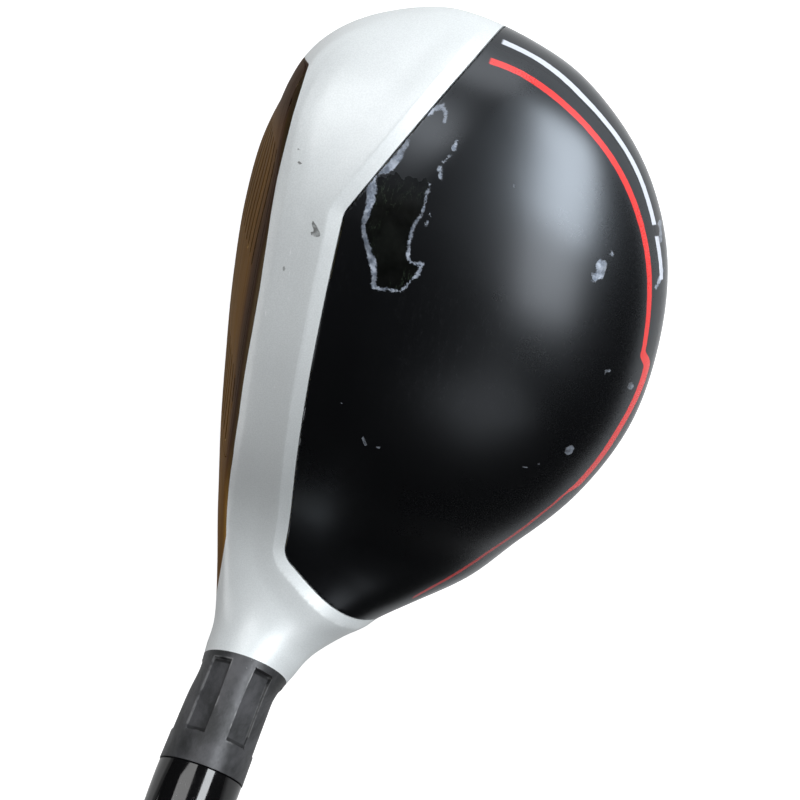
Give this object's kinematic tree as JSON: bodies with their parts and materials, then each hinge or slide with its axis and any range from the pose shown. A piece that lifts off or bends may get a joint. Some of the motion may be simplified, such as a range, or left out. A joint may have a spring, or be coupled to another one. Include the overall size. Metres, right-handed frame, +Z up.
{
  "type": "fairway wood",
  "caption": "Golf fairway wood with a hollow steel head, black carbon crown, fluted hosel, graphite shaft and rubber grip, for the right hand.",
  "frame": {"origin": "point where the shaft axis meets the ground plane with the club at address", "axes": "+X from the face to the rear of the head, +Y from heel to toe, +Z up from the ground"},
  "size_m": [0.0704, 0.6406, 0.9261],
  "materials": {
    "silver_paint": "satin pearl silver",
    "face_steel": "brushed",
    "crown_black": "satin black paint over carbon",
    "adhesive": "cured epoxy",
    "slot_polymer": "satin",
    "tack": "soft gloss",
    "shaft_paint": "gloss black",
    "brass_pin": "turned",
    "ferrule_black": "polished",
    "tape": "paper tape",
    "grip_rubber": "textured"
  },
  "bodies": {
    "root": {"head_body": "silver_paint", "face_plate": "face_steel", "crown_panel": "crown_black", "crown_bond": "adhesive", "slot_filler": "slot_polymer", "tack_spot": "tack", "shaft_bond": "adhesive", "shaft": "shaft_paint", "tip_pin": "brass_pin", "ferrule": "ferrule_black", "grip_tape": "tape", "grip_sleeve": "grip_rubber", "grip_cap": "grip_rubber"}
  },
  "joints": []
}
